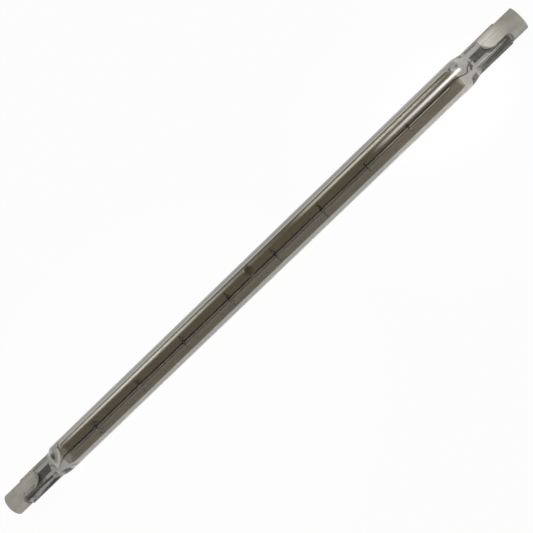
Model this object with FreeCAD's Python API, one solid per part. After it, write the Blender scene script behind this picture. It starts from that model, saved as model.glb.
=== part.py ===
import FreeCAD, Part
import math
import os
from FreeCAD import Vector

# Double-ended linear halogen lamp, in millimetres: a quartz tube pinched flat at both ends, a long
# tungsten coil held by spiral supports, and a slotted ceramic cap with a recessed contact on each end.
# X runs along the lamp, the flat pinches lie in the XY plane and the origin is the middle of the tube.

# Whole lamp
overall_length = 254.0

# Quartz tube
tube_diameter = 11.85
tube_wall = 1.6
shoulder_length = 4.8

# Pinch seals
pinch_width = 10.4
pinch_thickness = 4.2
pinch_length = 14.4
pinch_corner_radius = 0.5

# Closing ends of the bore
bore_taper_start = 4.6
bore_end_wall = 0.6
bore_slit_width = 6.4
bore_slit_thickness = 1.0
bore_slit_corner_radius = 0.3

# Sealed-off exhaust tip at mid-length
tip_base_diameter = 4.4
tip_dome_radius = 1.1
tip_flank_deg = 50.0
tip_height = 1.3
tip_lean_deg = 28.0

# Filament coil, as the tube that its turns fill
coil_diameter = 1.65
coil_inner_diameter = 1.17
coil_end_gap = 6.0

# Spiral supports that hang the coil in the bore
support_count = 8
support_left_margin = 12.5
support_right_margin = 15.2
support_wire_width = 0.32
support_coil_clearance = 0.03
support_bore_clearance = 0.05
support_hook_deg = 225.0
support_open_deg = 180.0
support_ring_deg = 270.0
support_step_deg = 22.5
support_leave_deg = 135.0
crept_supports = {7: -1.2, 8: -4.4}

# Lead wires and sealing foils
inner_lead_diameter = 0.45
outer_lead_diameter = 0.6
coil_lead_lap = 4.0
coil_lead_clearance = 0.01
foil_width = 4.0
foil_length = 10.5
foil_thickness = 0.06
foil_start_gap = 0.4
foil_lead_lap = 2.0

# Ceramic caps
cap_diameter = 9.1
cap_length = 16.0
cap_base_length = 6.1
cap_end_chamfer = 0.5
slot_clearance = 0.05
slot_corner_radius = 1.2
cement_thickness = 1.2
cement_inset = 0.3

# Recessed end contacts
recess_diameter = 5.0
recess_depth = 1.8
contact_head_diameter = 3.5
contact_head_thickness = 1.2
contact_shank_diameter = 1.8
contact_shank_inset = 0.9
contact_clearance = 0.05
contact_dimple_diameter = 2.0
contact_dimple_depth = 0.25

# Places along X on the right-hand end
lamp_end = overall_length / 2
slot_floor = lamp_end - cap_base_length
pinch_end = slot_floor - cement_thickness
pinch_start = pinch_end - pinch_length
tube_end = pinch_start - shoulder_length
bore_taper = tube_end - bore_taper_start
bore_end = pinch_start - bore_end_wall
coil_end = tube_end - coil_end_gap
foil_start = pinch_start + foil_start_gap
foil_end = foil_start + foil_length
recess_floor = lamp_end - recess_depth
head_back = recess_floor - contact_head_thickness
shank_end = slot_floor + contact_shank_inset
cap_tip = lamp_end - cap_length

# Radii and heights
tube_radius = tube_diameter / 2
bore_radius = tube_radius - tube_wall
cap_radius = cap_diameter / 2
slot_half = pinch_thickness / 2 + slot_clearance
coil_radius = coil_diameter / 2
coil_z = -(coil_radius + inner_lead_diameter / 2 + coil_lead_clearance)

# How the ring of glass divides into sides, corners and faces as it is pressed, and the loft's sections
side_half_angle = 20.0
face_half_angle = 55.0
morph_steps = 5

# A pipe's corner style for straight runs that meet at an angle
mitred = 1

origin = Vector(0, 0, 0)
along = Vector(1, 0, 0)
upward = Vector(0, 0, 1)
across = Vector(0, 1, 0)


def rod(diameter, start, end, y=0.0, z=0.0):
    """A round bar along X from start to end."""
    return Part.makeCylinder(diameter / 2, end - start, Vector(start, y, z), along)


def block(start, end, half_width, low, high):
    """A box along X, centred on Y, between two heights."""
    corner = Vector(start, -half_width, low)
    return Part.makeBox(end - start, 2 * half_width, high - low, corner)


def mirrored(shape):
    """The left-hand copy of a right-hand shape."""
    return shape.mirror(origin, along)


def ring_points(radius):
    """Start, middle and end of each of the eight arcs of a circle, from the right side round."""
    side, face = side_half_angle, 90 - face_half_angle
    joints = [-side, side, face, 180 - face, 180 - side, 180 + side, 180 + face, 360 - face, 360 - side]
    arcs = []
    for first, last in zip(joints, joints[1:]):
        angles = [math.radians(a) for a in (first, (first + last) / 2, last)]
        arcs.append([(radius * math.cos(a), radius * math.sin(a)) for a in angles])
    return arcs


def bar_points(width, thickness, corner):
    """Start, middle and end of each side and corner of a rounded bar, in the order of ring_points."""
    y, z = width / 2, thickness / 2
    inner_y, inner_z = y - corner, z - corner
    bulge = corner * math.sqrt(0.5)
    quarter = [
        [(y, inner_z), (inner_y + bulge, inner_z + bulge), (inner_y, z)],
        [(inner_y, z), (0, z), (-inner_y, z)],
        [(-inner_y, z), (-inner_y - bulge, inner_z + bulge), (-y, inner_z)],
        [(-y, inner_z), (-y, 0), (-y, -inner_z)],
    ]
    half_turn = [[(-py, -pz) for py, pz in side] for side in quarter]
    return [half_turn[-1]] + quarter + half_turn[:-1]


def pressed_section(x, share, radius, width, thickness, corner):
    """The outline at x of a tube that is pressed towards a flat bar: share 0 is round and 1 is flat."""
    edges = []
    pairs = zip(ring_points(radius), bar_points(width, thickness, corner))
    for number, (ring, bar) in enumerate(pairs):
        start, middle, end = (
            Vector(x, (1 - share) * ry + share * by, (1 - share) * rz + share * bz)
            for (ry, rz), (by, bz) in zip(ring, bar)
        )
        is_flat = share == 1 and number % 2 == 0
        curve = Part.LineSegment(start, end) if is_flat else Part.Arc(start, middle, end)
        edges.append(curve.toShape())
    return Part.Wire(edges)


def pressed_bar(round_end, flat_start, radius, width, thickness, corner):
    """A round bar over the middle of the lamp whose two ends ease into a flat bar."""
    sections = []
    for step in range(morph_steps + 1):
        part = step / morph_steps
        ease = part * part * (3 - 2 * part)
        x = round_end + part * (flat_start - round_end)
        sections.append(pressed_section(x, ease, radius, width, thickness, corner))
    shoulder = Part.makeLoft(sections, True)
    middle = Part.Face(pressed_section(-round_end, 0, radius, width, thickness, corner))
    return middle.extrude(along * (2 * round_end)).multiFuse([shoulder, mirrored(shoulder)])


def exhaust_tip():
    """The small glass nipple left where the lamp was filled and sealed off."""
    base_level = tube_radius - tube_wall / 2
    top_level = tube_radius + tip_height
    base, tangent = tip_base_diameter / 2, math.radians(tip_flank_deg)

    def dome_point(angle):
        """A point on the dome at that angle from its top."""
        drop = tip_dome_radius * (1 - math.cos(angle))
        return Vector(tip_dome_radius * math.sin(angle), 0, top_level - drop)

    edges = [
        Part.makeLine(Vector(0, 0, base_level), Vector(base, 0, base_level)),
        Part.makeLine(Vector(base, 0, base_level), dome_point(tangent)),
        Part.Arc(dome_point(tangent), dome_point(tangent / 2), dome_point(0)).toShape(),
        Part.makeLine(Vector(0, 0, top_level), Vector(0, 0, base_level)),
    ]
    tip = Part.Face(Part.Wire(edges)).revolve(origin, upward, 360)
    tip.rotate(origin, along, tip_lean_deg)
    return tip


def lapped_lead(diameter, start, end, lap_start, lap_end):
    """A straight lead whose lapped stretch is flattened underneath, where it is welded on the foil."""
    under = block(lap_start, lap_end, diameter, -diameter, foil_thickness / 2)
    return rod(diameter, start, end).cut(under)


def inner_lead():
    """The wire from the top of the coil's end to the foil."""
    weld_end = foil_start + foil_lead_lap
    return lapped_lead(inner_lead_diameter, coil_end - coil_lead_lap, weld_end, foil_start, weld_end)


def outer_lead():
    """The wire from the foil, out of the pinch and the cement, to the back of the contact."""
    weld_start = foil_end - foil_lead_lap
    return lapped_lead(outer_lead_diameter, weld_start, shank_end, weld_start, foil_end)


def foil():
    """The thin sealing foil inside the pinch."""
    return block(foil_start, foil_end, foil_width / 2, -foil_thickness / 2, foil_thickness / 2)


def quartz_envelope():
    """The tube with its flat pinches, exhaust tip and bore, sealed round the foils and leads."""
    flat = (tube_radius, pinch_width, pinch_thickness, pinch_corner_radius)
    slit = (bore_radius, bore_slit_width, bore_slit_thickness, bore_slit_corner_radius)
    pinch = Part.Face(pressed_section(pinch_start, 1, *flat)).extrude(along * pinch_length)
    tube = pressed_bar(tube_end, pinch_start, *flat)
    outside = tube.multiFuse([pinch, mirrored(pinch), exhaust_tip()])
    bore = pressed_bar(bore_taper, bore_end, *slit)
    sealed_in = [inner_lead(), foil(), outer_lead()]
    hollows = [bore] + sealed_in + [mirrored(piece) for piece in sealed_in]
    return outside.removeSplitter().cut(hollows[0].multiFuse(hollows[1:])).removeSplitter()


def filament_coil():
    """The close coil's body, a long thin tube a little below the lamp's axis."""
    body = rod(coil_diameter, -coil_end, coil_end, z=coil_z)
    return body.cut(rod(coil_inner_diameter, -coil_end, coil_end, z=coil_z))


def filament_support(x):
    """One wire support: a hook round the coil that opens into a ring standing on the bore."""
    wire = support_wire_width / 2
    hook = coil_radius + support_coil_clearance + wire
    ring = bore_radius + coil_z - support_bore_clearance - wire
    whole_turn = support_hook_deg + support_open_deg + support_ring_deg
    points = []
    for step in range(round(whole_turn / support_step_deg) + 1):
        turn = step * support_step_deg - support_hook_deg
        part = min(max(turn / support_open_deg, 0), 1)
        radius = hook + (ring - hook) * part * part * (3 - 2 * part)
        angle = math.radians(support_leave_deg - turn)
        points.append(Vector(x, radius * math.cos(angle), coil_z + radius * math.sin(angle)))
    outward = Vector(0, points[0].y, points[0].z - coil_z).normalize()
    sides = [(1, 1), (1, -1), (-1, -1), (-1, 1), (1, 1)]
    section = Part.makePolygon([points[0] + (outward * a + along * b) * wire for a, b in sides])
    return Part.makePolygon(points).makePipeShell([section], True, False, mitred)


def support_places():
    """Where each support stands along the coil."""
    first = support_left_margin - coil_end
    pitch = (coil_end - support_right_margin - first) / (support_count - 1)
    return [first + i * pitch + crept_supports.get(i + 1, 0.0) for i in range(support_count)]


def slot_hollow():
    """The slot across a cap for the pinch, open at the cap's tip and round-cornered at its floor."""
    start = cap_tip - slot_corner_radius
    turn = slot_corner_radius * (1 - math.sqrt(0.5))
    side = slot_half - slot_corner_radius
    shoulder = slot_floor - slot_corner_radius
    low = [Vector(start, 0, -slot_half), Vector(shoulder, 0, -slot_half)]
    low_floor = Vector(slot_floor, 0, -side)
    high_floor = Vector(slot_floor, 0, side)
    high = [Vector(shoulder, 0, slot_half), Vector(start, 0, slot_half)]
    edges = [
        Part.makeLine(*low),
        Part.Arc(low[1], Vector(slot_floor - turn, 0, turn - slot_half), low_floor).toShape(),
        Part.makeLine(low_floor, high_floor),
        Part.Arc(high_floor, Vector(slot_floor - turn, 0, slot_half - turn), high[0]).toShape(),
        Part.makeLine(*high),
        Part.makeLine(high[1], low[0]),
    ]
    profile = Part.Face(Part.Wire(edges))
    profile.translate(-across * cap_diameter)
    return profile.extrude(across * (2 * cap_diameter))


def ceramic_cap():
    """The slotted cap: two round-tipped jaws over the pinch, and a solid end with the contact's recess."""
    body = rod(cap_diameter, cap_tip, lamp_end)
    rim = [edge for edge in body.Edges if edge.BoundBox.XMin > lamp_end - cap_end_chamfer]
    body = body.makeChamfer(cap_end_chamfer, rim)
    tongue = math.sqrt(cap_radius**2 - slot_half**2)
    tongue_centre = cap_tip + tongue
    round_tip = Part.makeCylinder(tongue, cap_diameter, Vector(tongue_centre, 0, -cap_radius), upward)
    plan = round_tip.fuse(block(tongue_centre, lamp_end, cap_diameter, -cap_radius, cap_radius))
    hollows = [
        slot_hollow(),
        rod(recess_diameter, recess_floor, lamp_end),
        rod(contact_head_diameter + 2 * contact_clearance, head_back, recess_floor),
        rod(contact_shank_diameter + 2 * contact_clearance, slot_floor, head_back),
    ]
    return body.common(plan).cut(hollows[0].multiFuse(hollows[1:])).removeSplitter()


def cap_cement():
    """The cement that fills the slot behind the pinch."""
    fill = slot_hollow().common(rod(cap_diameter - 2 * cement_inset, pinch_end, slot_floor))
    return fill.cut(rod(outer_lead_diameter, pinch_end, slot_floor))


def contact():
    """The turned contact: a dimpled head in the recess and a shank through the ceramic."""
    button = rod(contact_head_diameter, head_back, recess_floor)
    button = button.fuse(rod(contact_shank_diameter, shank_end, head_back))
    dimple_bottom = Vector(recess_floor - contact_dimple_depth, 0, 0)
    dimple = Part.makeCone(0, contact_dimple_diameter / 2, contact_dimple_depth, dimple_bottom, along)
    return button.cut(dimple).removeSplitter()


pieces = {"quartz_envelope": quartz_envelope(), "filament_coil": filament_coil()}
for number, place in enumerate(support_places(), start=1):
    pieces[f"filament_support_{number}"] = filament_support(place)
for name, make in {
    "inner_lead": inner_lead,
    "foil": foil,
    "outer_lead": outer_lead,
    "ceramic_cap": ceramic_cap,
    "cap_cement": cap_cement,
    "contact": contact,
}.items():
    pieces[f"{name}_right"] = make()
    pieces[f"{name}_left"] = mirrored(pieces[f"{name}_right"])

os.makedirs("parts", exist_ok=True)
for name, shape in pieces.items():
    solids = shape.Solids
    print(f"{name}: {len(solids)} solid, {shape.Volume:.2f} cubic mm, valid {shape.isValid()}")
    (solids[0] if len(solids) == 1 else shape).exportStep(f"parts/{name}.step")
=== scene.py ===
"""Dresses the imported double-ended halogen lamp: quartz, coil, supports, ceramic caps and contacts."""

import logging
import math
from contextlib import contextmanager
from dataclasses import dataclass
from enum import Enum
from typing import Any, Callable, Iterator, Sequence

import bpy
from mathutils import Matrix, Vector, noise


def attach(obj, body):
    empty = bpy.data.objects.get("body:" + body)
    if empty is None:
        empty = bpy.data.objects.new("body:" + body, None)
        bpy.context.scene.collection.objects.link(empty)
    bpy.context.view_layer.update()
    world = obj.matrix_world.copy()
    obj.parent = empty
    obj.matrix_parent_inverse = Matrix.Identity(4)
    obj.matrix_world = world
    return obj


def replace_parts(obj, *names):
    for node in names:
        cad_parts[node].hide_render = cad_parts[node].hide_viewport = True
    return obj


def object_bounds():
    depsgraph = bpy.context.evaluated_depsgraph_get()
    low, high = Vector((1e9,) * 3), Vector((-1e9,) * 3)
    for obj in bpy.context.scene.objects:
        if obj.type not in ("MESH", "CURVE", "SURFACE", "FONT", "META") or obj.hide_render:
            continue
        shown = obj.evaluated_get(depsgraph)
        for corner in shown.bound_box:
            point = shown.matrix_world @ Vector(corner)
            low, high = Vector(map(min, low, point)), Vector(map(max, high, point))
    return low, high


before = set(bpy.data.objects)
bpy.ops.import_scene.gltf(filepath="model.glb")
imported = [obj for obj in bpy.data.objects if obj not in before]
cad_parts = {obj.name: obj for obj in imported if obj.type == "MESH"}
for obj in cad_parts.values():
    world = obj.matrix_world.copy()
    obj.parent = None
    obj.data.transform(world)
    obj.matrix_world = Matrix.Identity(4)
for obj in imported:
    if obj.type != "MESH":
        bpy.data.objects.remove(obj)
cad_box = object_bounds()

LOG = logging.getLogger("lamp")
MM = 0.001
HAIR = 1e-6
FACING = 0.9
ROOT = "root"

Colour = tuple[float, float, float]
Place = tuple[float, float, float]
Point = tuple[float, float]


class Side(Enum):
    """The two ends of the lamp, by the sign of X."""

    LEFT = -1
    RIGHT = 1

    @property
    def word(self) -> str:
        """The side's name as the CAD nodes spell it."""
        return self.name.lower()


class Carve(Enum):
    """How a cutter changes a piece."""

    AWAY = "DIFFERENCE"
    COMMON = "INTERSECT"
    ONTO = "UNION"


class Part(Enum):
    """What is picked on a mesh in edit mode."""

    VERTICES = (True, False, False)
    EDGES = (False, True, False)
    FACES = (False, False, True)


class Bench:
    """Blender's operators, used as a modeller's hands."""

    @staticmethod
    def clear() -> None:
        """Leaves edit mode and lets go of everything."""
        if bpy.context.mode != "OBJECT":
            bpy.ops.object.mode_set(mode="OBJECT")
        bpy.ops.object.select_all(action="DESELECT")

    @staticmethod
    def hold(piece: bpy.types.Object) -> None:
        """Makes a piece the only selected and the active one."""
        Bench.clear()
        piece.select_set(True)
        bpy.context.view_layer.objects.active = piece

    @staticmethod
    def named(name: str) -> bpy.types.Object:
        """Names the primitive that was just added, and puts its place into its mesh.

        Args:
            name: The piece's name.

        Returns:
            The new piece, at the origin, unturned and unscaled.
        """
        piece = bpy.context.object
        piece.name = piece.data.name = name
        bpy.ops.object.transform_apply(location=True, rotation=True, scale=True)
        return piece

    @staticmethod
    @contextmanager
    def editing(piece: bpy.types.Object, part: Part = Part.VERTICES) -> Iterator[None]:
        """Opens a piece in edit mode with that kind of selection."""
        Bench.hold(piece)
        bpy.context.tool_settings.mesh_select_mode = part.value
        bpy.ops.object.mode_set(mode="EDIT")
        yield
        bpy.ops.object.mode_set(mode="OBJECT")

    @staticmethod
    def pick(piece: bpy.types.Object, part: Part, test: Callable[[Any], bool]) -> None:
        """Selects the vertices, edges or faces of a mesh that pass a test.

        Args:
            piece: The mesh object, in object mode.
            part: What is selected.
            test: Takes a vertex, an edge or a face and says whether it is wanted.
        """
        mesh = piece.data
        for group in (mesh.vertices, mesh.edges, mesh.polygons):
            group.foreach_set("select", [False] * len(group))
        wanted = {
            Part.VERTICES: mesh.vertices,
            Part.EDGES: mesh.edges,
            Part.FACES: mesh.polygons,
        }[part]
        for item in wanted:
            item.select = test(item)

    @staticmethod
    def apply(piece: bpy.types.Object, kind: str, **settings: Any) -> None:
        """Adds a modifier and applies it.

        Args:
            piece: The piece it changes.
            kind: The modifier's type.
            settings: The modifier's own settings.
        """
        Bench.hold(piece)
        modifier = piece.modifiers.new(kind.lower(), kind)
        for name, value in settings.items():
            setattr(modifier, name, value)
        bpy.ops.object.modifier_apply(modifier=modifier.name)

    @staticmethod
    def carve(piece: bpy.types.Object, cutter: bpy.types.Object, how: Carve) -> None:
        """Cuts a piece with another one, which is then thrown away."""
        Bench.apply(piece, "BOOLEAN", object=cutter, operation=how.value, solver="EXACT")
        bpy.data.objects.remove(cutter)

    @staticmethod
    def mend(piece: bpy.types.Object) -> None:
        """Merges doubled points and turns all faces outwards."""
        with Bench.editing(piece):
            bpy.ops.mesh.select_all(action="SELECT")
            bpy.ops.mesh.remove_doubles(threshold=2 * HAIR)
            bpy.ops.mesh.normals_make_consistent(inside=False)

    @staticmethod
    def smooth(piece: bpy.types.Object, sharp_deg: float) -> None:
        """Shades a piece smooth, except at edges sharper than an angle."""
        Bench.hold(piece)
        bpy.ops.object.shade_smooth_by_angle(angle=math.radians(sharp_deg))

    @staticmethod
    def copy(piece: bpy.types.Object, name: str) -> bpy.types.Object:
        """A copy of a piece with its own mesh."""
        Bench.hold(piece)
        bpy.ops.object.duplicate(linked=False)
        twin = bpy.context.object
        twin.name = twin.data.name = name
        return twin

    @staticmethod
    def turn_about(piece: bpy.types.Object) -> None:
        """Turns a piece half way round the lamp's middle, onto the other end."""
        Bench.hold(piece)
        bpy.ops.transform.rotate(value=math.pi, orient_axis="Z", center_override=(0, 0, 0))
        bpy.ops.object.transform_apply(location=True, rotation=True, scale=True)

    @staticmethod
    def join(first: bpy.types.Object, *others: bpy.types.Object) -> bpy.types.Object:
        """Joins pieces into the first one."""
        Bench.hold(first)
        for other in others:
            other.select_set(True)
        bpy.ops.object.join()
        return first


class Number:
    """A value at a shader socket. Arithmetic on it adds Math nodes."""

    def __init__(self, tree: "Tree", socket: bpy.types.NodeSocket) -> None:
        """Wraps one socket of a tree."""
        self.tree = tree
        self.socket = socket

    def _math(self, operation: str, *values: Any) -> "Number":
        """Adds one Math node on these values."""
        made = self.tree.node("ShaderNodeMath", {"operation": operation}, dict(enumerate(values)))
        return Number(self.tree, made.outputs[0])

    def __add__(self, other: Any) -> "Number":
        """self + other"""
        return self._math("ADD", self, other)

    __radd__ = __add__

    def __sub__(self, other: Any) -> "Number":
        """self - other"""
        return self._math("SUBTRACT", self, other)

    def __rsub__(self, other: Any) -> "Number":
        """other - self"""
        return self._math("SUBTRACT", other, self)

    def __mul__(self, other: Any) -> "Number":
        """self * other"""
        return self._math("MULTIPLY", self, other)

    __rmul__ = __mul__

    def __pow__(self, other: Any) -> "Number":
        """self ** other"""
        return self._math("POWER", self, other)

    def most(self, other: Any) -> "Number":
        """The larger of two values."""
        return self._math("MAXIMUM", self, other)

    def size(self) -> "Number":
        """The value without its sign."""
        return self._math("ABSOLUTE", self)

    def wave(self) -> "Number":
        """The sine of the value."""
        return self._math("SINE", self)

    def eased(self, low: float, high: float) -> "Number":
        """A smooth step from 0 at low to 1 at high, which runs down if low is above high."""
        settings = {"interpolation_type": "SMOOTHSTEP"}
        rising = low < high
        ends = {"From Min": min(low, high), "From Max": max(low, high)}
        ends.update({"To Min": 0.0 if rising else 1.0, "To Max": 1.0 if rising else 0.0})
        made = self.tree.node("ShaderNodeMapRange", settings, {"Value": self, **ends})
        return Number(self.tree, made.outputs["Result"])

    def over(self, span: Point) -> "Number":
        """A smooth step between two places in mm, for a value in metres."""
        return self.eased(span[0] * MM, span[1] * MM)


@dataclass(frozen=True)
class Grain:
    """A noise: how many grains fit in a metre, its finer layers, and its stretch on each axis."""

    per_metre: float
    detail: float
    scale: Place = (1.0, 1.0, 1.0)


class Tree:
    """The node tree of one material or of the world."""

    def __init__(self, nodes: bpy.types.NodeTree) -> None:
        """Starts from an empty tree."""
        self.tree = nodes
        self.tree.nodes.clear()

    def node(self, kind: str, settings: dict[str, Any], sockets: dict[Any, Any]) -> bpy.types.Node:
        """Adds one node.

        Args:
            kind: The node's type.
            settings: Its own settings, which are set first.
            sockets: A value, a socket or a Number for each input, by its name or place.

        Returns:
            The new node.
        """
        made = self.tree.nodes.new(kind)
        for name, value in settings.items():
            setattr(made, name, value)
        for name, value in sockets.items():
            entry = made.inputs[name]
            if isinstance(value, Number):
                value = value.socket
            if isinstance(value, bpy.types.NodeSocket):
                self.tree.links.new(value, entry)
            elif entry.type == "RGBA" and len(value) == 3:
                entry.default_value = (*value, 1.0)
            else:
                entry.default_value = value
        return made

    def places(self, scale: Place = (1.0, 1.0, 1.0)) -> bpy.types.NodeSocket:
        """Object coordinates, stretched by a scale on each axis."""
        where = self.node("ShaderNodeTexCoord", {}, {}).outputs["Object"]
        if scale == (1.0, 1.0, 1.0):
            return where
        return self.node("ShaderNodeMapping", {}, {"Vector": where, "Scale": scale}).outputs["Vector"]

    def axes(self) -> list[Number]:
        """The three Object coordinates as numbers, in metres."""
        split = self.node("ShaderNodeSeparateXYZ", {}, {"Vector": self.places()})
        return [Number(self, socket) for socket in split.outputs]

    def grain(self, grain: Grain) -> Number:
        """A noise as a number from 0 to 1."""
        sockets = {"Vector": self.places(grain.scale), "Scale": grain.per_metre, "Detail": grain.detail}
        return Number(self, self.node("ShaderNodeTexNoise", {}, sockets).outputs["Fac"])

    def near(self, spot: Place, radius: float, shrink: float = 1.0, soft: float = 0.35) -> Number:
        """A round spot, or one drawn out along X.

        Args:
            spot: Its middle, in mm.
            radius: Its radius across X, in mm.
            shrink: The radius across X over the one along X.
            soft: How wide its rim is, as a share of the radius.

        Returns:
            1 within the spot and 0 outside it.
        """
        middle = (spot[0] * MM * shrink, spot[1] * MM, spot[2] * MM)
        sockets = {0: self.places((shrink, 1.0, 1.0)), 1: middle}
        gap = self.node("ShaderNodeVectorMath", {"operation": "DISTANCE"}, sockets)
        return Number(self, gap.outputs["Value"]).over((radius * (1 + soft), radius * (1 - soft)))

    def mixed(self, share: Number, first: Any, second: Any) -> bpy.types.NodeSocket:
        """Two colours mixed by a share of the second."""
        made = self.node("ShaderNodeMix", {"data_type": "RGBA"}, {0: share, 6: first, 7: second})
        return made.outputs[2]

    def bump(self, height: Number, relief: Point) -> bpy.types.NodeSocket:
        """A normal that follows a height map, with a relief's depth in mm and its strength."""
        sockets = {"Height": height, "Distance": relief[0] * MM, "Strength": relief[1]}
        return self.node("ShaderNodeBump", {}, sockets).outputs["Normal"]

    def surface(self, **sockets: Any) -> bpy.types.NodeSocket:
        """A Principled shader; words of a socket's name are joined by underscores."""
        named = {name.replace("_", " "): value for name, value in sockets.items()}
        return self.node("ShaderNodeBsdfPrincipled", {}, named).outputs["BSDF"]

    def matt(self, colour: Colour) -> bpy.types.NodeSocket:
        """A dull shader of one colour."""
        return self.node("ShaderNodeBsdfDiffuse", {}, {"Color": colour}).outputs[0]

    def blended(self, share: Any, first: Any, second: Any) -> bpy.types.NodeSocket:
        """Two shaders mixed by a share of the second."""
        return self.node("ShaderNodeMixShader", {}, {0: share, 1: first, 2: second}).outputs[0]

    def ray(self, kind: str) -> Number:
        """1 for rays of one kind, from the Light Path node."""
        return Number(self, self.node("ShaderNodeLightPath", {}, {}).outputs[f"Is {kind} Ray"])

    def fresnel(self, ior: float) -> Number:
        """How much a surface of this refractive index mirrors, from either side."""
        return Number(self, self.node("ShaderNodeFresnel", {}, {"IOR": ior}).outputs["Fac"])

    def shine(self, polish: float) -> bpy.types.NodeSocket:
        """A colourless mirror of this roughness."""
        sockets = {"Color": (1.0, 1.0, 1.0), "Roughness": polish}
        return self.node("ShaderNodeBsdfAnisotropic", {"distribution": "BECKMANN"}, sockets).outputs[0]

    def bent(self, tint: Colour, ior: float) -> bpy.types.NodeSocket:
        """Clear glass that bends light, and mirrors the light that can't leave it.

        Args:
            tint: What a crossing of the surface leaves of each colour.
            ior: The refractive index.

        Returns:
            The shader.
        """
        sockets = {"Color": tint, "Roughness": 0.0, "IOR": ior}
        passed = self.node("ShaderNodeBsdfRefraction", {}, sockets).outputs[0]
        return self.blended(self.fresnel(ior).eased(*MIRROR_STEP), passed, self.shine(0.0))

    def lit_through(self, shader: Any, tint: Colour) -> bpy.types.NodeSocket:
        """A glass shader that lets the lamps' light through with a tint."""
        clear = self.node("ShaderNodeBsdfTransparent", {}, {"Color": tint}).outputs[0]
        return self.blended(self.ray("Shadow"), shader, clear)

    def close(self, shader: Any, kind: str = "ShaderNodeOutputMaterial") -> None:
        """Connects the finished shader to the output."""
        self.node(kind, {}, {"Surface": shader})


QUARTZ_IOR = 1.458
MIRROR_STEP = (0.3, 0.8)


class Finish:
    """A finish that makes its material once."""

    name: str

    def material(self) -> bpy.types.Material:
        """The material with this finish's name, which no CAD material has, made when first asked for."""
        found = bpy.data.materials.get(self.name)
        if found is None:
            found = bpy.data.materials.new(self.name)
            found.use_nodes = True
            self.paint(Tree(found.node_tree))
        return found

    def paint(self, tree: Tree) -> None:
        """Builds the finish's nodes."""
        raise NotImplementedError

    def coat(self, piece: bpy.types.Object) -> None:
        """Puts the finish on all of a piece."""
        piece.data.materials.clear()
        piece.data.materials.append(self.material())


@dataclass(frozen=True)
class ClearQuartz(Finish):
    """Fused quartz, clear over the tube and a little hazy where it was softened and pressed, with painted
    shade in streaks on the upper part of the pinch's edge faces.
    """

    name: str = "clear_quartz"
    tint: Colour = (0.92, 0.917, 0.897)
    gloss_ior: float = 1.61
    gloss_polish: float = 0.3
    lamp_tint: Colour = (0.93, 0.93, 0.91)
    haze: Colour = (0.42, 0.413, 0.392)
    haze_share: float = 0.1
    haze_reach: Point = (97.0, 101.0)
    pressed_share: float = 0.04
    pressed_reach: Point = (102.0, 106.0)
    seam: Colour = (0.06, 0.058, 0.053)
    seam_share: float = 0.85
    seam_start: Point = (105.2, 106.4)
    seam_reach: Point = (4.55, 5.0)
    seam_foot: Point = (-1.75, -1.2)
    streaks: Grain = Grain(1100.0, 2.0, (0.05, 1.0, 1.0))
    streak_step: Point = (0.42, 0.56)
    tip_tint: Colour = (0.5, 0.46, 0.39)
    tip_place: Place = (0.0, -2.91, 5.47)
    tip_radius: float = 1.8
    tip_dulling: float = 0.75
    fleck: Colour = (0.62, 0.575, 0.48)
    fleck_place: Place = (-42.3, -1.28, 5.71)
    fleck_radius: float = 0.34
    fleck_shrink: float = 0.32

    def glass(self, tree: Tree) -> bpy.types.NodeSocket:
        """The glass itself, tinted darker and less glossy at the exhaust tip, with a soft gloss on its
        outer side.
        """
        inside = Number(tree, tree.node("ShaderNodeNewGeometry", {}, {}).outputs["Backfacing"])
        tip = tree.near(self.tip_place, self.tip_radius)
        gloss = tree.fresnel(self.gloss_ior) * (1.0 - inside) * (1.0 - tip * self.tip_dulling)
        tip_darker_glass = tree.bent(self.tip_tint, QUARTZ_IOR)
        clear = tree.blended(tip, tree.bent(self.tint, QUARTZ_IOR), tip_darker_glass)
        return tree.blended(gloss, clear, tree.shine(self.gloss_polish))

    def paint(self, tree: Tree) -> None:
        """Builds the finish's nodes."""
        x, y, z = tree.axes()
        along = x.size()
        milky = along.over(self.haze_reach) * self.haze_share
        milky = milky + along.over(self.pressed_reach) * self.pressed_share
        # Painted shade: a near-black matt layer in streaks along the lamp darkens the upper part of the
        # pinch's edge faces.
        seam = along.over(self.seam_start) * y.size().over(self.seam_reach) * z.over(self.seam_foot)
        seam = seam * tree.grain(self.streaks).eased(*self.streak_step) * self.seam_share
        fleck = tree.near(self.fleck_place, self.fleck_radius, self.fleck_shrink)
        body = tree.blended(milky, self.glass(tree), tree.matt(self.haze))
        body = tree.blended(seam, body, tree.matt(self.seam))
        body = tree.blended(fleck, body, tree.matt(self.fleck))
        tree.close(tree.lit_through(body, self.lamp_tint))


@dataclass(frozen=True)
class BoreQuartz(Finish):
    """The bore's glass, which is clear at its ends and dark where the hot coil has left a film on it."""

    name: str = "bore_quartz"
    tint: Colour = (0.98, 0.98, 0.97)
    film: Colour = (0.525, 0.477, 0.39)
    film_end: Point = (98.8, 97.8)
    lamp_tint: Colour = (0.9, 0.87, 0.82)

    def paint(self, tree: Tree) -> None:
        """Builds the finish's nodes."""
        filmed = tree.axes()[0].size().over(self.film_end)
        clear, dark = (tree.bent(tint, QUARTZ_IOR) for tint in (self.tint, self.film))
        glass = tree.blended(filmed, clear, dark)
        tree.close(tree.lit_through(glass, self.lamp_tint))


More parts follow.
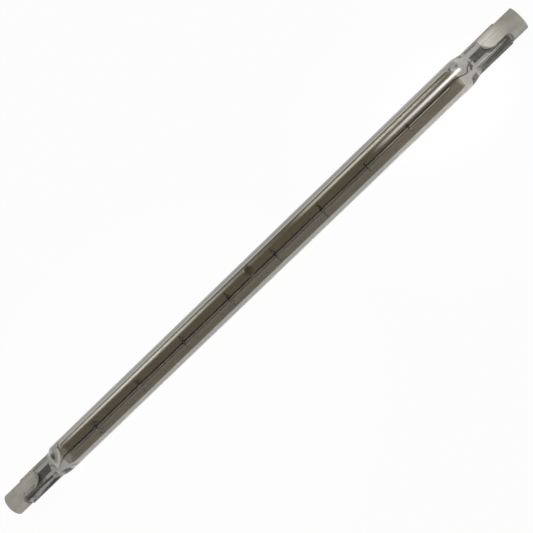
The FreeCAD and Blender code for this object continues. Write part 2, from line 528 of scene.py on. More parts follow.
@dataclass(frozen=True)
class WireMetal(Finish):
    """Drawn wire with a random mottle, darker where heat has worked on it; on the supports the mottle's
    bright flecks are painted glints. On a coil, painted shade also darkens its upper back and its lower
    front, leaving a bright band along its middle.

    The levels where the upper and the lower painted shade begin and are full are heights along the
    diagonal up and back, in mm.
    """

    name: str
    bright: Colour
    dark: Colour
    polish: float
    worked: Point = (0.35, 0.7)
    upper_painted_shade_level: Point | None = None
    lower_painted_shade_level: Point = (-0.9, -1.05)
    upper_painted_shade: Colour = (0.015, 0.014, 0.013)
    lower_painted_shade: Colour = (0.3, 0.293, 0.285)
    mottle: Grain = Grain(700.0, 3.0)
    worked_roughness: float = 0.15

    def paint(self, tree: Tree) -> None:
        """Builds the finish's nodes."""
        worked = tree.grain(self.mottle).eased(*self.worked)
        colour = tree.mixed(worked, self.bright, self.dark)
        # Painted shade: the coil is darkened towards its upper back and towards its lower front, leaving a
        # bright band along its middle.
        if self.upper_painted_shade_level:
            across, height = tree.axes()[1:]
            upper_back = (across + height) * math.sqrt(0.5)
            colour = tree.mixed(upper_back.over(self.lower_painted_shade_level), colour, self.lower_painted_shade)
            colour = tree.mixed(upper_back.over(self.upper_painted_shade_level), colour, self.upper_painted_shade)
        tree.close(
            tree.surface(
                Base_Color=colour,
                Metallic=1.0,
                Roughness=self.polish + worked * self.worked_roughness,
            )
        )


# The coil gets painted shade on its upper back and its lower front.
COIL_WIRE = WireMetal(
    "coil_wire", (0.97, 0.96, 0.95), (0.85, 0.84, 0.83), 0.5, upper_painted_shade_level=(-0.63, -0.45)
)
# The supports are mostly near-black wire, and the bright flecks of their mottle are painted glints.
SUPPORT_WIRE = WireMetal("support_wire", (0.95, 0.94, 0.92), (0.012, 0.011, 0.01), 0.3, (0.39, 0.43))
LEAD_WIRE = WireMetal("dark_lead", (0.08, 0.077, 0.073), (0.027, 0.025, 0.023), 0.3)


@dataclass(frozen=True)
class SealingFoil(Finish):
    """Thin etched foil with the small creases it was pinched with."""

    name: str = "sealing_foil"
    bright: Colour = (0.035, 0.034, 0.031)
    dull: Colour = (0.011, 0.01, 0.009)
    creases: Grain = Grain(420.0, 2.0, (1.0, 0.25, 1.0))
    crease_step: Point = (0.4, 0.65)
    relief: Point = (0.08, 0.6)
    roughness: Point = (0.5, 0.2)

    def paint(self, tree: Tree) -> None:
        """Builds the finish's nodes."""
        crease = tree.grain(self.creases)
        tree.close(
            tree.surface(
                Base_Color=tree.mixed(crease.eased(*self.crease_step), self.bright, self.dull),
                Metallic=1.0,
                Roughness=self.roughness[0] + crease * self.roughness[1],
                Normal=tree.bump(crease, self.relief),
            )
        )


@dataclass(frozen=True)
class PressedCeramic(Finish):
    """Unglazed pressed ceramic: mottled, finely grained, with a few dark specks."""

    name: str = "pressed_ceramic"
    pale: Colour = (0.52, 0.5, 0.453)
    warm: Colour = (0.445, 0.426, 0.38)
    speck: Colour = (0.10, 0.09, 0.075)
    lone_spot: Place = (-118.6, -2.99, 3.43)
    lone_spot_radius: float = 0.24
    mottle: Grain = Grain(330.0, 4.0)
    mottle_step: Point = (0.35, 0.68)
    mottle_relief: float = 0.6
    fine: Grain = Grain(3800.0, 2.0)
    specks: Grain = Grain(1500.0, 1.0)
    speck_step: Point = (0.745, 0.79)
    speck_share: float = 0.45
    relief: Point = (0.05, 0.45)
    roughness: Point = (0.52, 0.22)

    def paint(self, tree: Tree) -> None:
        """Builds the finish's nodes."""
        mottle = tree.grain(self.mottle)
        fine = tree.grain(self.fine)
        specks = tree.grain(self.specks).eased(*self.speck_step) * self.speck_share
        spot = tree.near(self.lone_spot, self.lone_spot_radius)
        body = tree.mixed(mottle.eased(*self.mottle_step), self.pale, self.warm)
        tree.close(
            tree.surface(
                Base_Color=tree.mixed(specks.most(spot), body, self.speck),
                Roughness=self.roughness[0] + fine * self.roughness[1],
                Normal=tree.bump(fine + mottle * self.mottle_relief, self.relief),
            )
        )


@dataclass(frozen=True)
class RoughCement(Finish):
    """The gritty cement behind the pinch."""

    name: str = "rough_cement"
    pale: Colour = (0.55, 0.52, 0.45)
    dark: Colour = (0.34, 0.31, 0.26)
    grit: Grain = Grain(1800.0, 5.0)
    grit_step: Point = (0.35, 0.7)
    relief: Point = (0.15, 0.8)
    roughness: Point = (0.85, 0.15)

    def paint(self, tree: Tree) -> None:
        """Builds the finish's nodes."""
        grit = tree.grain(self.grit)
        tree.close(
            tree.surface(
                Base_Color=tree.mixed(grit.eased(*self.grit_step), self.pale, self.dark),
                Roughness=self.roughness[0] + grit * self.roughness[1],
                Normal=tree.bump(grit, self.relief),
            )
        )


@dataclass(frozen=True)
class TurnedContact(Finish):
    """Turned contact metal, with fine rings from the tool and a dull, used middle."""

    name: str = "turned_contact"
    bright: Colour = (0.60, 0.575, 0.53)
    used: Colour = (0.30, 0.275, 0.235)
    ring_pitch: float = 0.09
    worn_reach: Point = (1.3, 0.2)
    wear: Grain = Grain(1200.0, 3.0)
    wear_step: Point = (0.3, 0.65)
    relief: Point = (0.006, 0.5)
    roughness: Point = (0.26, 0.3)

    def paint(self, tree: Tree) -> None:
        """Builds the finish's nodes."""
        _, y, z = tree.axes()
        radius = (y * y + z * z) ** 0.5
        rings = (radius * (2 * math.pi / (self.ring_pitch * MM))).wave()
        worn = radius.over(self.worn_reach) * tree.grain(self.wear).eased(*self.wear_step)
        tree.close(
            tree.surface(
                Base_Color=tree.mixed(worn, self.bright, self.used),
                Metallic=1.0,
                Roughness=self.roughness[0] + worn * self.roughness[1],
                Normal=tree.bump(rings, self.relief),
            )
        )


@dataclass(frozen=True)
class PaleFloor(Finish):
    """A white floor that takes the lamp's shadow; to rays through glass it shows as a fixed dim grey glow,
    painted shade for the floor beneath the lamp, and to mirrored rays as a near-white glow.
    """

    name: str = "pale_floor"
    colour: Colour = (0.8, 0.8, 0.8)
    white_share: float = 0.97
    through: Colour = (0.32, 0.317, 0.308)
    mirrored: Colour = (0.95, 0.95, 0.94)
    through_share: float = 0.85

    def glow(self, tree: Tree, colour: Colour) -> bpy.types.NodeSocket:
        """A plain shade that needs no light."""
        return tree.node("ShaderNodeEmission", {}, {"Color": colour, "Strength": 1.0}).outputs[0]

    def paint(self, tree: Tree) -> None:
        """Builds the finish's nodes."""
        bent = tree.ray("Transmission")
        mirrored = tree.ray("Glossy") - bent
        # Painted shade: rays through glass see a fixed dim grey glow instead of the lit white floor.
        plain = tree.matt(self.colour)
        dim = tree.blended(bent * self.through_share, plain, self.glow(tree, self.through))
        dim = tree.blended(mirrored * self.through_share, dim, self.glow(tree, self.mirrored))
        white = self.glow(tree, (1.0, 1.0, 1.0))
        tree.close(tree.blended(tree.ray("Camera") * self.white_share, dim, white))


def rise(points: Sequence[bpy.types.MeshVertex], edge: bpy.types.MeshEdge) -> float:
    """How far an edge's two ends are apart in height."""
    first, last = edge.vertices
    return abs(points[first].co.z - points[last].co.z)


@dataclass
class GlassSkin:
    """One wall of the quartz: round over the middle of the lamp and pressed flat towards each end."""

    name: str
    radius: float
    round_end: float
    flat_start: float
    width: float
    thickness: float
    corner: float
    side_points: int
    corner_points: int
    face_points: int
    stations: list[float]
    end_round: float = 0.0
    side_half_deg: float = 20.0
    face_half_deg: float = 55.0

    def _spans(self) -> list[tuple[float, float, int, Point, Point, Point | None]]:
        """Each side, corner and face: its angles on the tube, its points and its run on the flat bar."""
        side, face = self.side_half_deg, 90 - self.face_half_deg
        y, z = self.width / 2, self.thickness / 2
        iy, iz = y - self.corner, z - self.corner
        quarter = [
            (-side, side, self.side_points, (y, -iz), (y, iz), None),
            (side, face, self.corner_points, (y, iz), (iy, z), (iy, iz)),
            (face, 180 - face, self.face_points, (iy, z), (-iy, z), None),
            (180 - face, 180 - side, self.corner_points, (-iy, z), (-y, iz), (-iy, iz)),
        ]
        turned = [
            (a + 180, b + 180, n, (-p[0], -p[1]), (-q[0], -q[1]), c and (-c[0], -c[1]))
            for a, b, n, p, q, c in quarter
        ]
        return quarter + turned

    def outline(self, share: float, inset: float = 0.0) -> list[Point]:
        """The section's points.

        Args:
            share: 0 for the round tube and 1 for the flat bar.
            inset: How far the bar's outline is drawn in, for its rounded end.

        Returns:
            The points round the section, in mm.
        """
        points = []
        for first, last, count, start, end, centre in self._spans():
            for step in range(count):
                part = step / count
                angle = math.radians(first + (last - first) * part)
                ring = (self.radius * math.cos(angle), self.radius * math.sin(angle))
                if centre is None:
                    bar = tuple(s + (e - s) * part for s, e in zip(start, end))
                else:
                    from_y, from_z = centre
                    turn = math.atan2(start[1] - from_z, start[0] - from_y) + part * math.pi / 2
                    bar = (from_y + self.corner * math.cos(turn), from_z + self.corner * math.sin(turn))
                drawn = (
                    bar[0] * (1 - 2 * inset / self.width),
                    bar[1] * (1 - 2 * inset / self.thickness),
                )
                points.append(tuple((1 - share) * r + share * b for r, b in zip(ring, drawn)))
        return points

    def section(self, x: float) -> list[Point]:
        """The section at a place along the lamp."""
        reach = abs(x)
        part = min(max((reach - self.round_end) / (self.flat_start - self.round_end), 0.0), 1.0)
        end = self.stations[-1]
        inset = 0.0
        if self.end_round and reach > end - self.end_round:
            drop = (reach - (end - self.end_round)) / self.end_round
            inset = self.end_round * (1 - math.sqrt(max(0.0, 1 - drop * drop)))
        return self.outline(part * part * (3 - 2 * part), inset)

    def build(self) -> bpy.types.Object:
        """A cylinder cut into rings, each of which is moved to its section."""
        sections = [self.section(x) for x in self.stations]
        around, along = len(sections[0]), len(sections)
        Bench.clear()
        bpy.ops.mesh.primitive_cylinder_add(
            vertices=around, radius=1.0, depth=1.0, end_fill_type="NOTHING"
        )
        piece = Bench.named(self.name)
        points = piece.data.vertices
        Bench.pick(piece, Part.EDGES, lambda e: rise(points, e) > 0.5)
        with Bench.editing(piece, Part.EDGES):
            bpy.ops.mesh.subdivide(number_cuts=along - 2)
        for point in piece.data.vertices:
            ring = round((point.co.z + 0.5) * (along - 1))
            turn = round(math.atan2(point.co.y, point.co.x) / (2 * math.pi) * around) % around
            y, z = sections[ring][turn]
            point.co = (self.stations[ring] * MM, y * MM, z * MM)
        for end in (self.stations[0] * MM, self.stations[-1] * MM):
            Bench.pick(piece, Part.VERTICES, lambda v: abs(v.co.x - end) < HAIR)
            with Bench.editing(piece):
                bpy.ops.mesh.edge_face_add()
        Bench.mend(piece)
        return piece


def spread(start: float, end: float, step: float) -> list[float]:
    """Evenly spaced places from start to end, without the end, no further apart than a step."""
    count = max(1, math.ceil(abs(end - start) / step - HAIR))
    return [start + (end - start) * i / count for i in range(count)]


def both_ways(half: Sequence[float]) -> list[float]:
    """Places on both halves of the lamp from those on its right half, which start at 0."""
    return [-x for x in reversed(half) if x > 0] + list(half)


@dataclass
class QuartzEnvelope:
    """The pinched quartz tube: its outer wall with the exhaust tip, and its bore."""

    tube_radius: float = 5.908
    tube_end: float = 100.5
    pinch_start: float = 105.3
    pinch_end: float = 119.7
    pinch_width: float = 10.4
    pinch_thickness: float = 4.2
    pinch_corner: float = 0.5
    pinch_end_round: float = 0.35
    bore_radius: float = 4.325
    bore_taper: float = 95.9
    bore_end: float = 104.7
    slit_width: float = 6.4
    slit_thickness: float = 1.0
    slit_corner: float = 0.3
    tip_reach: float = 2.8
    tip_top: float = 7.22
    tip_dome: float = 1.1
    tip_flank_deg: float = 50.0
    tip_base: Point = (2.2, 5.125)
    tip_lean_deg: float = 28.0
    tip_flare: float = 0.35
    tip_step: float = 0.16
    tube_step: float = 6.0
    shoulder_step: float = 0.28
    pinch_step: float = 1.5
    end_rings: int = 6
    wall_points: tuple[int, int, int] = (16, 8, 48)
    bore_step: float = 8.0
    taper_step: float = 0.4
    bore_points: tuple[int, int, int] = (12, 6, 36)
    sharp_deg: float = 50.0
    skin: ClearQuartz = ClearQuartz()
    lining: BoreQuartz = BoreQuartz()

    def outer_wall(self) -> bpy.types.Object:
        """The outer wall, closed over both pinches."""
        half = spread(0.0, self.tip_reach, self.tip_step)
        half += spread(self.tip_reach, self.tube_end, self.tube_step)
        half += spread(self.tube_end, self.pinch_start, self.shoulder_step)
        half += spread(self.pinch_start, self.pinch_end - self.pinch_end_round, self.pinch_step)
        for ring in range(self.end_rings + 1):
            drawn = 1 - math.sin(ring * math.pi / (2 * self.end_rings))
            half.append(self.pinch_end - self.pinch_end_round * drawn)
        skin = GlassSkin(
            "quartz_envelope", self.tube_radius, self.tube_end, self.pinch_start, self.pinch_width,
            self.pinch_thickness, self.pinch_corner, *self.wall_points, both_ways(half),
            self.pinch_end_round,
        )
        wall = skin.build()
        self.raise_tip(wall)
        return wall

    def tip_level(self, gap: float) -> float:
        """The exhaust tip's height above the lamp's axis at a distance from the tip's own axis."""
        flank = math.radians(self.tip_flank_deg)
        side = self.tip_dome * math.sin(flank)
        shoulder = self.tip_top - self.tip_dome * (1 - math.cos(flank))
        if gap < side:
            return self.tip_top - self.tip_dome + math.sqrt(self.tip_dome**2 - gap * gap)
        fall = (shoulder - self.tip_base[1]) / (self.tip_base[0] - side)
        return shoulder - (gap - side) * fall

    def raise_tip(self, wall: bpy.types.Object) -> None:
        """Draws the wall up into the sealed exhaust tip, with a small flare at its foot."""
        lean = math.radians(self.tip_lean_deg)
        axis = Vector((0.0, -math.sin(lean), math.cos(lean)))
        for point in wall.data.vertices:
            place = point.co / MM
            level = place.dot(axis)
            gap = (place - level * axis).length
            if level < 0 or gap > self.tip_reach:
                continue
            over = self.tip_level(gap) - level
            blend = max(self.tip_flare - abs(over), 0.0) / self.tip_flare
            lift = max(over, 0.0) + blend * blend * self.tip_flare / 4
            point.co = (place + lift * axis) * MM

    def bore_wall(self) -> bpy.types.Object:
        """The bore, closed at both ends, with its faces turned into the hollow."""
        half = spread(0.0, self.bore_taper, self.bore_step)
        half += spread(self.bore_taper, self.bore_end, self.taper_step) + [self.bore_end]
        skin = GlassSkin(
            "bore", self.bore_radius, self.bore_taper, self.bore_end, self.slit_width,
            self.slit_thickness, self.slit_corner, *self.bore_points, both_ways(half),
        )
        wall = skin.build()
        with Bench.editing(wall, Part.FACES):
            bpy.ops.mesh.select_all(action="SELECT")
            bpy.ops.mesh.flip_normals()
        return wall

    def build(self) -> bpy.types.Object:
        """Builds and dresses the envelope.

        Returns:
            The finished piece, which stands for the CAD envelope.
        """
        wall, bore = self.outer_wall(), self.bore_wall()
        self.skin.coat(wall)
        self.lining.coat(bore)
        piece = Bench.join(wall, bore)
        Bench.smooth(piece, self.sharp_deg)
        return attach(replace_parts(piece, "quartz_envelope"), ROOT)


@dataclass
class FilamentCoil:
    """The long coil, close-wound at both ends, hanging a little between its supports."""

    reach: float = 94.5
    radius: float = 0.825
    wire: float = 0.135
    pitch: float = 0.31
    tight_pitch: float = 0.26
    tight_turns: int = 15
    height: float = -1.06
    sag: float = 0.07
    sag_least: float = 0.6
    sag_spread: float = 0.4
    sag_wander: float = 1.7
    lead_gap: float = 8.0
    steps: int = 14
    sides: int = 6
    sharp_deg: float = 80.0
    supports: Sequence[float] = ()
    finish: WireMetal = COIL_WIRE

    def run(self, name: str, start: float, pitch: float, turns: int) -> bpy.types.Object:
        """One run of turns with an even pitch, from a ring of wire that is screwed along X."""
        Bench.clear()
        bpy.ops.mesh.primitive_circle_add(
            vertices=self.sides, radius=self.wire * MM, fill_type="NOTHING",
            location=(start * MM, 0.0, (self.radius - self.wire) * MM),
            rotation=(math.pi / 2, 0.0, 0.0),
        )
        piece = Bench.named(name)
        Bench.apply(
            piece, "SCREW", axis="X", angle=2 * math.pi, steps=self.steps, render_steps=self.steps,
            screw_offset=pitch * MM, iterations=turns, use_smooth_shade=True,
        )
        return piece

    def drop(self, x: float) -> float:
        """How far the coil hangs at a place, which is most half way between two supports."""
        stops = [-self.reach - self.lead_gap, *self.supports, self.reach + self.lead_gap]
        for first, last in zip(stops, stops[1:]):
            if first <= x <= last:
                part = (x - first) / (last - first)
                uneven = self.sag_least + self.sag_spread * math.sin(self.sag_wander * first)
                return self.sag * uneven * math.sin(math.pi * part) ** 2
        return 0.0

    def build(self) -> bpy.types.Object:
        """Builds and dresses the coil.

        Returns:
            The finished piece, which stands for the CAD coil.
        """
        ends = self.tight_pitch * self.tight_turns
        turns = round(2 * (self.reach - ends) / self.pitch)
        pitch = 2 * (self.reach - self.wire - ends) / turns
        start = -self.reach + self.wire
        piece = self.run("filament_coil", start, self.tight_pitch, self.tight_turns)
        middle = self.run("coil_middle", start + ends, pitch, turns)
        far = self.run("coil_far", start + ends + pitch * turns, self.tight_pitch, self.tight_turns)
        piece = Bench.join(piece, middle, far)
        Bench.mend(piece)
        with Bench.editing(piece, Part.EDGES):
            bpy.ops.mesh.select_all(action="DESELECT")
            bpy.ops.mesh.select_non_manifold(
                use_multi_face=False, use_non_contiguous=False, use_verts=False
            )
            bpy.ops.mesh.edge_face_add()
        for point in piece.data.vertices:
            point.co.z += (self.height - self.drop(point.co.x / MM)) * MM
        Bench.mend(piece)
        Bench.smooth(piece, self.sharp_deg)
        self.finish.coat(piece)
        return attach(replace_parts(piece, "filament_coil"), ROOT)


@dataclass
class SpiralSupport:
    """A wire support: a hook round the coil that opens into a ring standing on the bore."""

    number: int
    place: float
    wire: float = 0.16
    hook: float = 1.015
    ring: float = 3.055
    height: float = -1.06
    hook_deg: float = 405.0
    open_deg: float = 180.0
    ring_deg: float = 270.0
    leave_deg: float = 135.0
    step_deg: float = 15.0
    hook_pitch: float = 0.42
    lean: float = 0.12
    lean_wander: float = 2.3
    sharp_deg: float = 60.0
    finish: WireMetal = SUPPORT_WIRE

    def route(self) -> list[Place]:
        """The wire's control points in mm, from the hook's end to the ring's end."""
        points = []
        whole = self.hook_deg + self.open_deg + self.ring_deg
        lean = self.lean * math.sin(self.lean_wander * self.number)
        for step in range(round(whole / self.step_deg) + 1):
            turn = step * self.step_deg - self.hook_deg
            part = min(max(turn / self.open_deg, 0.0), 1.0)
            radius = self.hook + (self.ring - self.hook) * part * part * (3 - 2 * part)
            angle = math.radians(self.leave_deg - turn)
            across, up = radius * math.cos(angle), radius * math.sin(angle)
            slip = self.hook_pitch * min(turn, 0.0) / 360 + lean * across / self.ring
            points.append((self.place + slip, across, self.height + up))
        return points

    def build(self) -> bpy.types.Object:
        """Builds and dresses the support.

        Returns:
            The finished piece, which stands for its CAD support.
        """
        Bench.clear()
        bpy.ops.curve.primitive_nurbs_path_add(radius=1.0, location=(0.0, 0.0, 0.0))
        path = bpy.context.object
        route = self.route()
        spline = path.data.splines[0]
        spline.points.add(len(route) - len(spline.points))
        for point, place in zip(spline.points, route):
            point.co = (*[c * MM for c in place], 1.0)
        spline.order_u = 3
        spline.use_endpoint_u = True
        spline.resolution_u = 2
        path.data.bevel_depth = self.wire * MM
        path.data.bevel_resolution = 2
        path.data.use_fill_caps = True
        bpy.ops.object.convert(target="MESH")
        piece = Bench.named(f"support_{self.number}")
        Bench.mend(piece)
        Bench.smooth(piece, self.sharp_deg)
        self.finish.coat(piece)
        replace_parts(piece, f"filament_support_{self.number}")
        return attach(piece, ROOT)


@dataclass
class CeramicCap:
    """The slotted ceramic cap, modelled on the right-hand end and turned about for the left-hand end."""

    radius: float = 4.55
    tip: float = 111.0
    end: float = 127.0
    slot_floor: float = 120.9
    slot_half: float = 2.15
    slot_corner: float = 1.2
    recess_radius: float = 2.5
    recess_floor: float = 125.2
    seat_radius: float = 1.8
    seat_floor: float = 124.0
    soft_edge: float = 0.28
    soft_edge_deg: float = 32.0
    overshoot: float = 1.0
    sides: int = 128
    recess_sides: int = 64
    sharp_deg: float = 38.0
    finish: PressedCeramic = PressedCeramic()

    def rod(self, radius: float, start: float, end: float, sides: int) -> bpy.types.Object:
        """A round bar along X."""
        Bench.clear()
        bpy.ops.mesh.primitive_cylinder_add(
            vertices=sides, radius=radius * MM, depth=(end - start) * MM,
            location=((start + end) / 2 * MM, 0.0, 0.0), rotation=(0.0, math.pi / 2, 0.0),
        )
        return Bench.named("rod")

    def box(self, low: Sequence[float], high: Sequence[float]) -> bpy.types.Object:
        """A block between two corners."""
        Bench.clear()
        middle = [(a + b) / 2 * MM for a, b in zip(low, high)]
        bpy.ops.mesh.primitive_cube_add(size=1.0, location=middle)
        bpy.context.object.scale = [(b - a) * MM for a, b in zip(low, high)]
        return Bench.named("block")

    def slot_cutter(self) -> bpy.types.Object:
        """The slot's hollow, with its two floor corners rounded."""
        wide, start = 2 * self.radius, self.tip - 2 * self.overshoot
        cutter = self.box((start, -wide, -self.slot_half), (self.slot_floor, wide, self.slot_half))
        points, floor = cutter.data.vertices, self.slot_floor * MM
        Bench.pick(
            cutter, Part.EDGES,
            lambda e: rise(points, e) < HAIR
            and all(abs(points[v].co.x - floor) < HAIR for v in e.vertices),
        )
        with Bench.editing(cutter, Part.EDGES):
            bpy.ops.mesh.bevel(offset=self.slot_corner * MM, segments=10, affect="EDGES")
        return cutter

    def plan_block(self) -> bpy.types.Object:
        """The cap's outline from above, with its round tongue."""
        tongue = math.sqrt(self.radius**2 - self.slot_half**2)
        Bench.clear()
        bpy.ops.mesh.primitive_cylinder_add(
            vertices=self.sides, radius=tongue * MM, depth=3 * self.radius * MM,
            location=((self.tip + tongue) * MM, 0.0, 0.0),
        )
        plan = Bench.named("plan")
        wide, end = 2 * self.radius, self.end + self.overshoot
        Bench.carve(plan, self.box((self.tip + tongue, -wide, -wide), (end, wide, wide)), Carve.ONTO)
        return plan

    def shape(self) -> bpy.types.Object:
        """The right-hand cap's mesh."""
        cap = self.rod(self.radius, self.tip, self.end, self.sides)
        Bench.carve(cap, self.plan_block(), Carve.COMMON)
        Bench.carve(cap, self.slot_cutter(), Carve.AWAY)
        for radius, floor, top in (
            (self.recess_radius, self.recess_floor, self.end + self.overshoot),
            (self.seat_radius, self.seat_floor, self.recess_floor + self.overshoot / 2),
        ):
            Bench.carve(cap, self.rod(radius, floor, top, self.recess_sides), Carve.AWAY)
        Bench.mend(cap)
        Bench.apply(
            cap, "BEVEL", width=self.soft_edge * MM, segments=3, limit_method="ANGLE",
            angle_limit=math.radians(self.soft_edge_deg), use_clamp_overlap=False, harden_normals=False,
        )
        Bench.mend(cap)
        return cap

    def build(self) -> list[bpy.types.Object]:
        """Builds and dresses both caps.

        Returns:
            The two pieces, which stand for the CAD caps.
        """
        right = self.shape()
        right.name = right.data.name = "cap_right"
        left = Bench.copy(right, "cap_left")
        Bench.turn_about(left)
        for piece, side in ((right, Side.RIGHT), (left, Side.LEFT)):
            Bench.smooth(piece, self.sharp_deg)
            self.finish.coat(piece)
            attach(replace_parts(piece, f"ceramic_cap_{side.word}"), ROOT)
        return [right, left]


@dataclass
class CapCement:
    """The lump of cement between a pinch's end and the floor of its slot."""

    start: float = 119.72
    end: float = 120.88
    half_height: float = 2.1
    radius: float = 4.2
    soft_edge: float = 0.25
    cuts: int = 6
    roughness: float = 0.12
    lump_scale: float = 1.3
    lump_shift: float = 7.0
    sharp_deg: float = 60.0
    finish: RoughCement = RoughCement()

    def build(self, side: Side) -> bpy.types.Object:
        """Builds and dresses one lump.

        Args:
            side: The end of the lamp that it is on.

        Returns:
            The piece, which stands for its CAD cement.
        """
        Bench.clear()
        bpy.ops.mesh.primitive_cube_add(size=1.0)
        sizes = (self.end - self.start, 2 * self.radius, 2 * self.half_height)
        bpy.context.object.scale = [size * MM for size in sizes]
        piece = Bench.named(f"cement_{side.word}")
        with Bench.editing(piece, Part.EDGES):
            bpy.ops.mesh.select_all(action="SELECT")
            bpy.ops.mesh.bevel(offset=self.soft_edge * MM, segments=2, affect="EDGES")
            bpy.ops.mesh.select_all(action="SELECT")
            bpy.ops.mesh.subdivide(number_cuts=self.cuts)
        middle = (self.start + self.end) / 2
        shift = Vector((self.lump_shift * side.value, 0.0, 0.0))
        for point in piece.data.vertices:
            _, y, z = point.co / MM
            if math.hypot(y, z) > self.radius:
                point.co.y *= math.sqrt(max(self.radius**2 - z**2, 0.0)) / abs(y)
            lump = noise.noise(point.co / MM * self.lump_scale + shift)
            point.co *= 1 - self.roughness * (0.5 + 0.5 * lump)
            point.co.x += side.value * middle * MM
        Bench.mend(piece)
        Bench.smooth(piece, self.sharp_deg)
        self.finish.coat(piece)
        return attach(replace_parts(piece, f"cap_cement_{side.word}"), ROOT)


@dataclass
class EndContact:
    """The turned contact in a cap's recess: a dimpled head with a rounded rim, and a shank."""

    head_radius: float = 1.75
    shank_radius: float = 0.9
    dimple_radius: float = 1.0
    dimple_depth: float = 0.25
    face: float = 125.2
    back: float = 124.0
    shank_end: float = 121.8
    rim: float = 0.18
    dimple_steps: Sequence[Point] = ((0.75, 0.55), (0.5, 0.3), (0.2, 0.15))
    sides: int = 64
    sharp_deg: float = 40.0
    finish: TurnedContact = TurnedContact()

    def shape(self) -> bpy.types.Object:
        """The right-hand contact's mesh."""
        Bench.clear()
        bpy.ops.mesh.primitive_cylinder_add(
            vertices=self.sides, radius=self.head_radius * MM, depth=(self.face - self.back) * MM,
            location=((self.face + self.back) / 2 * MM, 0.0, 0.0), rotation=(0.0, math.pi / 2, 0.0),
        )
        piece = Bench.named("button_right")
        Bench.pick(piece, Part.FACES, lambda f: f.normal.x > FACING)
        with Bench.editing(piece, Part.FACES):
            bpy.ops.mesh.bevel(offset=self.rim * MM, segments=4, affect="EDGES")
        front = self.face * MM - HAIR
        Bench.pick(piece, Part.FACES, lambda f: f.normal.x > FACING and f.center.x > front)
        with Bench.editing(piece, Part.FACES):
            bpy.ops.mesh.inset(thickness=(self.head_radius - self.rim - self.dimple_radius) * MM)
            for share, depth in self.dimple_steps:
                bpy.ops.mesh.extrude_region_move(
                    TRANSFORM_OT_translate={"value": (-self.dimple_depth * depth * MM, 0.0, 0.0)}
                )
                bpy.ops.transform.resize(
                    value=(1.0, share, share), center_override=(self.face * MM, 0.0, 0.0)
                )
        behind = self.back * MM + HAIR
        Bench.pick(piece, Part.FACES, lambda f: f.normal.x < -FACING and f.center.x < behind)
        with Bench.editing(piece, Part.FACES):
            bpy.ops.mesh.inset(thickness=(self.head_radius - self.shank_radius) * MM)
            bpy.ops.mesh.extrude_region_move(
                TRANSFORM_OT_translate={"value": ((self.shank_end - self.back) * MM, 0.0, 0.0)}
            )
        Bench.mend(piece)
        return piece

    def build(self) -> list[bpy.types.Object]:
        """Builds and dresses both contacts.

        Returns:
            The two pieces, which stand for the CAD contacts.
        """
        right = self.shape()
        left = Bench.copy(right, "button_left")
        Bench.turn_about(left)
        for piece, side in ((right, Side.RIGHT), (left, Side.LEFT)):
            Bench.smooth(piece, self.sharp_deg)
            self.finish.coat(piece)
            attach(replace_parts(piece, f"contact_{side.word}"), ROOT)
        return [right, left]


@dataclass
class LeadsAndFoils:
    """The CAD lead wires and sealing foils, which keep their shapes and get their finishes."""

    wire: WireMetal = LEAD_WIRE
    foil: SealingFoil = SealingFoil()

    def dress(self) -> list[bpy.types.Object]:
        """Coats the wires and foils of both ends.

        Returns:
            The CAD nodes that were dressed.
        """
        dressed = []
        finishes = {"inner_lead": self.wire, "outer_lead": self.wire, "foil": self.foil}
        for side in Side:
            for name, finish in finishes.items():
                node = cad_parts[f"{name}_{side.word}"]
                finish.coat(node)
                dressed.append(node)
        return dressed


@dataclass(frozen=True)
class Spot:
    """A small lamp that lights one length of the tube, and shows on its glass as a soft line.

    Its place, its aim along the tube's middle line and its reach on either side of that are in metres.
    """

    name: str
    place: Place
    aim: float
    reach: float
    soft: float
    watts: float
    colour: Colour = (1.0, 1.0, 1.0)

    def build(self) -> bpy.types.Object:
        """Adds the lamp, pointed at its place on the tube's middle line."""
        way = Vector((self.aim, 0.0, 0.0)) - Vector(self.place)
        light = bpy.data.lights.new(self.name, "SPOT")
        light.energy = self.watts
        light.color = self.colour
        light.shadow_soft_size = 0.0
        light.spot_size = 2.0 * math.atan(self.reach / way.length)
        light.spot_blend = self.soft
        lamp = bpy.data.objects.new(self.name, light)
        bpy.context.scene.collection.objects.link(lamp)
        turn = way.to_track_quat("-Z", "Y").to_matrix().to_4x4()
        lamp.matrix_world = Matrix.Translation(self.place) @ turn
        return lamp


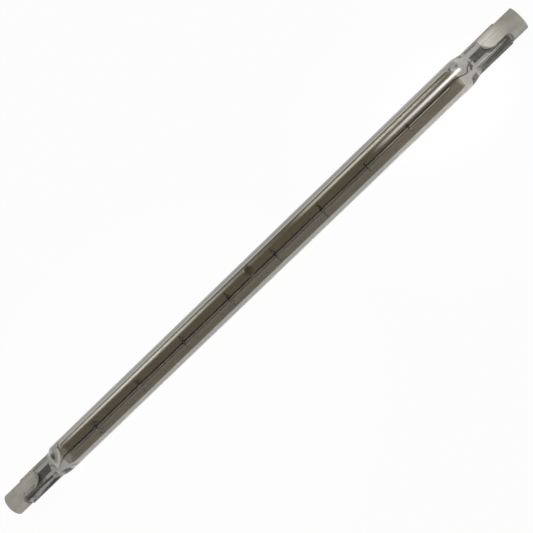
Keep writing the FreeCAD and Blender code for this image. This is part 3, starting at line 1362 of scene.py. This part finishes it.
@dataclass
class Studio:
    """The pale floor, the soft light and the camera of the photograph."""

    image_px: float = 533.0
    focal_px: float = 1100.0
    sensor: float = 36.0
    distance: float = 392.6
    lamp_place: float = 7.37
    lamp_pixel: Point = (268.69, 258.90)
    roll_deg: float = 43.9
    tilt_deg: float = 8.66
    rise_deg: float = 45.0
    floor_size: float = 6.0
    floor_gap: float = 0.02
    sky_step: Point = (0.0, 0.9)
    zenith: Colour = (0.195, 0.195, 0.19)
    horizon: Colour = (0.53, 0.523, 0.5)
    front: Colour = (1.2, 1.19, 1.17)
    front_side: Point = (0.1, -0.25)
    front_top: Point = (0.5, 0.4)
    spots: Sequence[Spot] = (
        Spot("key", (-0.362, 0.42, 0.907), -0.07, 0.092, 0.25, 10.5, (1.0, 0.965, 0.88)),
        Spot("side", (0.044, 0.391, 0.92), 0.09, 0.072, 0.35, 9.0, (1.0, 0.955, 0.85)),
        Spot("top", (0.248, -0.27, 0.963), 0.09, 0.032, 0.6, 24.0),
    )

    def camera(self) -> bpy.types.Object:
        """Puts the camera where the photograph was taken from.

        Returns:
            The camera, set as the scene's own.
        """
        rise, tilt, roll = (math.radians(a) for a in (self.rise_deg, self.tilt_deg, self.roll_deg))
        along = Vector((1.0, 0.0, 0.0))
        towards = Vector((0.0, -math.cos(rise), math.sin(rise)))
        above = towards.cross(along)
        back = math.sin(tilt) * along + math.cos(tilt) * towards
        level = math.cos(tilt) * along - math.sin(tilt) * towards
        right = math.cos(roll) * level - math.sin(roll) * above
        up = math.sin(roll) * level + math.cos(roll) * above
        centre = self.image_px / 2
        shift_right = (self.lamp_pixel[0] - centre) / self.focal_px
        shift_up = (centre - self.lamp_pixel[1]) / self.focal_px
        place = along * self.lamp_place + self.distance * (back - shift_right * right - shift_up * up)
        data = bpy.data.cameras.new("camera")
        data.sensor_width = self.sensor
        data.lens = self.focal_px / self.image_px * self.sensor
        data.clip_start, data.clip_end = 0.01, 50.0
        camera = bpy.data.objects.new("camera", data)
        bpy.context.scene.collection.objects.link(camera)
        turn = Matrix((right, up, back)).transposed().to_4x4()
        camera.matrix_world = Matrix.Translation(place * MM) @ turn
        bpy.context.scene.camera = camera
        return camera

    def floor(self) -> bpy.types.Object:
        """Lays the floor under the lamp."""
        Bench.clear()
        level = cad_box[0].z - self.floor_gap * MM
        bpy.ops.mesh.primitive_plane_add(size=self.floor_size, location=(0.0, 0.0, level))
        floor = Bench.named("floor")
        PaleFloor().coat(floor)
        return floor

    def world(self) -> None:
        """Lights the room softly, brighter at the horizon and low in front, and white to the camera."""
        world = bpy.data.worlds.new("room")
        world.use_nodes = True
        tree = Tree(world.node_tree)
        where = tree.node("ShaderNodeTexCoord", {}, {}).outputs["Generated"]
        split = tree.node("ShaderNodeSeparateXYZ", {}, {"Vector": where})
        height = Number(tree, split.outputs["Z"])
        ahead = Number(tree, split.outputs["Y"]).eased(*self.front_side)
        shade = tree.mixed(height.eased(*self.sky_step), self.horizon, self.zenith)
        shade = tree.mixed(ahead * height.eased(*self.front_top), shade, self.front)
        room, white = (
            tree.node("ShaderNodeBackground", {}, {"Color": colour, "Strength": 1.0}).outputs[0]
            for colour in (shade, (1.0, 1.0, 1.0))
        )
        tree.close(tree.blended(tree.ray("Camera"), room, white), "ShaderNodeOutputWorld")
        bpy.context.scene.world = world

    def build(self) -> None:
        """Sets up the whole studio."""
        self.camera()
        self.floor()
        self.world()
        for spot in self.spots:
            spot.build()
        bpy.context.scene.view_settings.view_transform = "Standard"


SUPPORT_PLACES = (-82.0, -58.957, -35.914, -12.871, 10.171, 33.214, 55.057, 74.9)


def main() -> None:
    """Builds the lamp's pieces in order, logs each piece's triangle count, then sets up the studio."""
    logging.basicConfig(level=logging.INFO, format="%(message)s")
    pieces = [QuartzEnvelope().build(), FilamentCoil(supports=SUPPORT_PLACES).build()]
    pieces += [SpiralSupport(n, place).build() for n, place in enumerate(SUPPORT_PLACES, start=1)]
    pieces += CeramicCap().build()
    pieces += [CapCement().build(side) for side in Side]
    pieces += EndContact().build()
    pieces += LeadsAndFoils().dress()
    for piece in pieces:
        piece.data.calc_loop_triangles()
        LOG.info("%s: %d triangles", piece.name, len(piece.data.loop_triangles))
    Studio().build()


if __name__ == "__main__":
    main()
